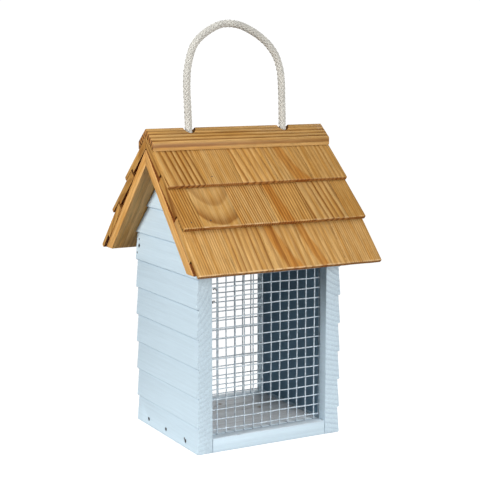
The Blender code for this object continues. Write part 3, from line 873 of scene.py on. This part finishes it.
# How each front shingle was cut from its tree: its heart across and below it, the lean of the rings
# across and into it for each millimetre down it, the width of a ring, how strong its late wood is, and
# its tone and warmth. A band is a wide flat-sawn ring.
shingleCuts = {
    "front_top_1": {"heart": (-17, -12), "lean": (0.07, 0), "ring": 3.0, "late": 1.3, "tone": 1.0,
                    "warm": 0.1},
    "front_top_2": {"heart": (-90, -5), "lean": (0.02, 0), "ring": 1.4, "late": 0.75, "tone": 1.03},
    "front_top_3": {"heart": (-40, -10), "lean": (0.08, 0), "ring": 4.5, "late": 0.8, "tone": 1.12},
    "front_top_4": {"heart": (-50, -14), "lean": (0.09, 0), "ring": 2.6, "late": 0.6, "tone": 0.95,
                    "band": (1.5, 0.22, 3.0, 7.0)},
    "front_top_5": {"heart": (-70, -6), "lean": (0.02, 0), "ring": 2.9, "late": 0.6, "tone": 0.9,
                    "warm": 0.1},
    "front_middle_1": {"heart": (-60, -6), "lean": (0.03, 0), "ring": 1.7, "late": 1.2, "tone": 0.95,
                       "warm": 0.3},
    "front_middle_2": {"heart": (1.2, -14.3), "lean": (0, -0.5), "ring": 7.7, "late": 0.8, "tone": 1.0},
    "front_middle_3": {"heart": (-80, -4), "lean": (0.04, 0), "ring": 1.6, "late": 1.3, "tone": 1.05},
    "front_middle_4": {"heart": (-60, -10), "lean": (0.02, 0), "ring": 1.9, "late": 1.1, "tone": 0.97,
                       "warm": 0.25, "band": (-7.0, 0.12, 3.0, 4.6)},
    "front_middle_5": {"heart": (-22, -12), "lean": (0.06, 0), "ring": 3.6, "late": 1.0, "tone": 0.95},
    "front_middle_6": {"heart": (-60, -4), "lean": (0, 0), "ring": 1.5, "late": 0.5, "tone": 0.8,
                       "warm": 0.3},
    "front_eave_1": {"heart": (-75, -6), "lean": (0.03, 0), "ring": 1.6, "late": 0.8, "tone": 1.1},
    "front_eave_2": {"heart": (-44, -8), "lean": (0.0, 0), "ring": 3.5, "late": 0.9, "tone": 1.06},
    "front_eave_3": {"heart": (-40, -10), "lean": (0.05, 0), "ring": 5.4, "late": 0.7, "tone": 1.05,
                     "band": (-3.0, 0.24, 3.4, 6.2)},
    "front_eave_4": {"heart": (-50, -12), "lean": (0.10, 0), "ring": 3.2, "late": 0.5, "tone": 1.0,
                     "band": (-7.0, 0.20, 2.6, 4.0)},
    "front_eave_5": {"heart": (-90, -5), "lean": (0.02, 0), "ring": 1.5, "late": 0.75, "tone": 0.97},
}


def rearCut(shuffle):  # a rear shingle's cut, and one in five has its heart under its middle
    cut = {"lean": (shuffle.uniform(-0.04, 0.12), 0), "late": shuffle.uniform(0.5, 1.0)}
    if shuffle.random() < 0.2:
        cut.update(heart=(shuffle.uniform(-5, 5), -shuffle.uniform(11, 17)), ring=shuffle.uniform(3, 4.5),
                   lean=(0, shuffle.choice((-0.3, 0.3))))
    else:
        cut.update(heart=(shuffle.choice((-1, 1)) * shuffle.uniform(16, 90), -shuffle.uniform(4, 14)),
                   ring=shuffle.choice((1.4, 1.7, 2.2, 2.8, 4.6)))
    cut.update(tone=shuffle.uniform(0.82, 1.08), warm=shuffle.uniform(0.0, 0.3))
    if shuffle.random() < 0.25:
        cut["band"] = (shuffle.uniform(-8, 8), shuffle.uniform(-0.1, 0.2), 2.6, shuffle.uniform(3, 7))
    return cut


def outward(node):  # which way a roof piece's broad upper face looks
    bm = mergedCopy(node)
    top = max((face for face in bm.faces if face.normal.z > 0.2), key=lambda face: face.calc_area())
    normal = top.normal.copy()
    bm.free()
    return normal


def downSlope(normal):
    return Vector((0, math.copysign(normal.z, normal.y), -abs(normal.y)))


def extent(node, direction):
    reaches = [vertex.co.dot(direction) for vertex in nodes[node].data.vertices]
    return min(reaches), max(reaches)


def cutAt(bm, place, normal, clear):
    bmesh.ops.bisect_plane(bm, geom=bm.verts[:] + bm.edges[:] + bm.faces[:], dist=1e-7, plane_co=place,
                           plane_no=normal, clear_outer=clear)


def lengthwise(edge):
    return abs((edge.verts[0].co - edge.verts[1].co).normalized().x) > 0.9


def shingleBlank(node, normal, down):  # a plain block with the step under its foot, cut off at the ridge
    (left, right), (head, foot), (low, high) = (extent(node, way) for way in (alongRidge, down, normal))
    left -= shingle["close"] if left > cadLow.x + mm else 0
    right += shingle["close"] if right < cadHigh.x - mm else 0
    stepHead, stepTop = foot - shingle["length"], low + shingle["depth"]
    corners = [(foot, stepTop), (foot, high), (head, high), (head, low), (stepHead, low), (stepHead, stepTop)]
    bm = bmesh.new()
    outline = bm.faces.new([bm.verts.new(down * v + normal * w + alongRidge * left) for v, w in corners])
    pushed = bmesh.ops.extrude_face_region(bm, geom=[outline])["geom"]
    bmesh.ops.translate(bm, vec=alongRidge * (right - left),
                        verts=[item for item in pushed if isinstance(item, bmesh.types.BMVert)])
    side = math.copysign(1, normal.y)
    cutAt(bm, (0, side * shingle["mitre"], 0), (0, -side, 0), True)
    bmesh.ops.holes_fill(bm, edges=[edge for edge in bm.edges if edge.is_boundary], sides=0)
    bmesh.ops.recalc_face_normals(bm, faces=bm.faces)
    return bm


def shingleMesh(node, normal, shuffle):
    down = downSlope(normal)
    (head, foot), (_, high) = extent(node, down), extent(node, normal)
    bm = shingleBlank(node, normal, down)
    feet = [edge for edge in bm.edges
            if lengthwise(edge) and all(vertex.co.dot(down) > foot - 0.01 * mm for vertex in edge.verts)]
    bevelEdges(bm, feet, shingle["footRound"], 3)
    ends = [edge for edge in bm.edges if not lengthwise(edge) and edge.is_manifold
            and edge.calc_face_angle() > math.radians(40)]
    bevelEdges(bm, ends, shingle["edge"], 2)
    cutAt(bm, down * (foot - shingle["wear"]), down, False)
    runs = [edge for edge in bm.edges if lengthwise(edge) and edge.calc_length() > 5 * mm]
    bmesh.ops.subdivide_edges(bm, edges=runs, cuts=shingle["lengthCuts"], use_grid_fill=True)
    phase = shuffle.uniform(0, 6.28)
    for vertex in bm.verts:  # a sawn shingle is never quite flat or straight
        share = (vertex.co.dot(down) - head) / (foot - head)
        ripple = math.sin(phase + vertex.co.x * 260) + 0.5 * math.sin(phase * 2 + vertex.co.x * 610)
        if share > 0.9:
            vertex.co += down * ripple * shingle["ripple"]
        if vertex.co.dot(normal) > high - 0.6 * mm and share > 0.3:
            vertex.co += normal * shingle["dip"] * math.sin(phase * 3 + vertex.co.x * 420 + share * 5)
    bmesh.ops.recalc_face_normals(bm, faces=bm.faces)
    return bm


def shadeWedgeFaces(piece, normal, facing):  # painted shade: darker on the faces that look into the roof, in the wedges between shingles and panels
    piece.data.materials.append(wedgeShadeLook)
    for face in piece.data.polygons:
        if face.normal.dot(normal) * facing > 0.7:
            face.material_index = 1


def wearFoot(piece, normal, amount):  # how bare the wood is along the foot's upper edge
    down, points = downSlope(normal), piece.data.vertices
    foot = max(vertex.co.dot(down) for vertex in points)
    high = max(vertex.co.dot(normal) for vertex in points)
    worn = piece.data.attributes.new("worn", "FLOAT", "POINT")
    for vertex, item in zip(points, worn.data):
        atEdge = foot - vertex.co.dot(down) < shingle["wornDown"]
        onTop = high - vertex.co.dot(normal) < shingle["wornIn"]
        item.value = amount if atEdge and onTop else 0.0


def addShingles():
    shuffle = random.Random(5)
    for node in sorted(nodes):
        if not node.startswith("shingle_"):
            continue
        normal = outward(node)
        bm = shingleMesh(node, normal, shuffle)
        piece = addPiece(plainName(node), bm, stainedLook, "roof")
        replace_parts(piece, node)
        cut = shingleCuts.get(node.removeprefix("shingle_")) or rearCut(shuffle)
        tone, warm = cut["tone"], cut.get("warm", 0.0)
        tint = (tone, tone * (1 - 0.3 * warm), tone * (1 - warm))
        writeGrain(piece, alongRidge, downSlope(normal), cut, tint, cut["late"], shuffle.randint(0, 999))
        wearFoot(piece, normal, shuffle.uniform(0.6, 1.1) * footWear[node.split("_")[2]])
        shadeWedgeFaces(piece, normal, -1)


panels = {"edge": 0.25 * mm, "heart": (-90, -40), "ring": 2.4, "late": 0.45, "tint": (1.35, 1.3, 1.3),
          "seed": 31}
caps = {"edge": 0.3 * mm, "heart": (-40, -8), "ring": 2.8, "seed": 33}


def addPanelsAndCaps():
    for word in ("front", "rear"):
        node = "roof_panel_" + word
        panel = addBoard(plainName(node), node, "roof", stainedLook, panels["edge"])
        normal = outward(node)
        writeGrain(panel, alongRidge, downSlope(normal), panels, panels["tint"], panels["late"],
                   panels["seed"])
        shadeWedgeFaces(panel, normal, 1)
        node = "ridge_cap_" + word
        cap = addBoard(plainName(node), node, "roof", ridgeLook, caps["edge"])
        writeGrain(cap, downSlope(outward(node)), alongRidge, caps, seed=caps["seed"])


# Pins through the shingles: which one, where along the ridge and how far up from its foot, in millimetres.
shinglePins = [("shingle_front_top_2", -31.7, 6.4), ("shingle_front_middle_2", -44.1, 5.3),
               ("shingle_front_middle_1", -57.1, 4.7), ("shingle_rear_middle_5", 30.0, 6.0)]
pin = {"radius": 0.42 * mm, "length": 2.4 * mm, "sunk": 1.1 * mm}


def addPins():
    for number, (node, x, rise) in enumerate(shinglePins, 1):
        normal = outward(node)
        down = downSlope(normal)
        foot, top = extent(node, down)[1], extent(node, normal)[1]
        bm = bmesh.new()
        bmesh.ops.create_cone(bm, cap_ends=True, segments=12, radius1=pin["radius"], radius2=pin["radius"],
                              depth=pin["length"])
        turn = Matrix((alongRidge, down, normal)).transposed()
        seat = down * (foot - rise * mm) + normal * (top - pin["sunk"]) + alongRidge * x * mm
        if turn.determinant() < 0:
            turn.col[1].negate()
        bmesh.ops.transform(bm, verts=bm.verts, matrix=Matrix.Translation(seat) @ turn.to_4x4())
        addPiece(f"shinglePin{number}", bm, steelLook, "roof")


addShingles()
addPanelsAndCaps()
addPins()
print("roof laid")


studio = {
    "floorSize": 6.0,
    "floorDrop": 0.2 * mm,
    "floorTone": 0.50,
    "lift": 0.85,  # how much the floor glows to the camera
    "ambient": 0.04,
    "backdrop": 1.05,
    "fadeFrom": 0.07,  # the floor fades out between these distances from the middle
    "fadeTo": 0.21,
}
white = (1.0, 1.0, 1.0, 1.0)


def addFloor():
    bm = bmesh.new()
    bmesh.ops.create_grid(bm, x_segments=1, y_segments=1, size=studio["floorSize"])
    bmesh.ops.translate(bm, vec=(0, 0, -studio["floorDrop"]), verts=bm.verts)
    mesh = bpy.data.meshes.new("studioFloor")
    bm.to_mesh(mesh)
    bm.free()
    floor = bpy.data.objects.new("studioFloor", mesh)
    bpy.context.collection.objects.link(floor)
    made, tree, shader = newMaterial("paleFloor")
    tone = studio["floorTone"]
    shader.inputs["Base Color"].default_value = (tone, tone, tone, 1.0)
    shader.inputs["Roughness"].default_value = 0.9
    shader.inputs["Specular IOR Level"].default_value = 0.0
    seen = addNode(tree, "LightPath").outputs["Is Camera Ray"]
    shader.inputs["Emission Color"].default_value = white
    tree.links.new(calc(tree, "MULTIPLY", seen, studio["lift"]), shader.inputs["Emission Strength"])
    away = addNode(tree, "VectorMath", {0: addNode(tree, "TexCoord").outputs["Object"]}, operation="LENGTH")
    fade = addNode(tree, "MapRange", {"Value": away.outputs["Value"], "From Min": studio["fadeFrom"],
                                      "From Max": studio["fadeTo"]}, interpolation_type="SMOOTHSTEP")
    clear = addNode(tree, "BsdfTransparent").outputs["BSDF"]
    mixed = addNode(tree, "MixShader", {0: fade.outputs["Result"], 1: shader.outputs["BSDF"], 2: clear})
    tree.links.new(mixed.outputs["Shader"], tree.nodes["Material Output"].inputs["Surface"])
    mesh.materials.append(made)


def addBackdrop():
    world = bpy.data.worlds.new("studioWorld")
    bpy.context.scene.world = world
    world.use_nodes = True
    tree = world.node_tree
    background = tree.nodes["Background"]
    seen = addNode(tree, "LightPath").outputs["Is Camera Ray"]
    strength = calc(tree, "MULTIPLY_ADD", seen, studio["backdrop"] - studio["ambient"], studio["ambient"])
    tree.links.new(strength, background.inputs["Strength"])
    background.inputs["Color"].default_value = white


softLights = {
    "leftSoftbox": {"place": (-1.62, -0.05, 0.68), "size": (0.6, 0.6), "power": 30.5},
    "frontSoftbox": {"place": (0.25, -1.8, 0.35), "size": (0.9, 0.9), "power": 28.0},
    "topSoftbox": {"place": (0.1, -1.1, 1.4), "size": (1.0, 1.0), "power": 6.0},
    "rearSoftbox": {"place": (1.2, 1.6, 0.8), "size": (1.0, 1.0), "power": 20.0},
}
lightAim = Vector((0, 0, 0.11))


def addLights():
    for name, look in softLights.items():
        data = bpy.data.lights.new(name, "AREA")
        data.shape = "RECTANGLE"
        data.size, data.size_y = look["size"]
        data.energy = look["power"]
        lamp = bpy.data.objects.new(name, data)
        lamp.location = look["place"]
        lamp.rotation_euler = (lightAim - Vector(look["place"])).to_track_quat("-Z", "Y").to_euler()
        bpy.context.collection.objects.link(lamp)


addFloor()
addBackdrop()
addLights()
bpy.context.scene.view_settings.view_transform = "Standard"
print("studio lit")
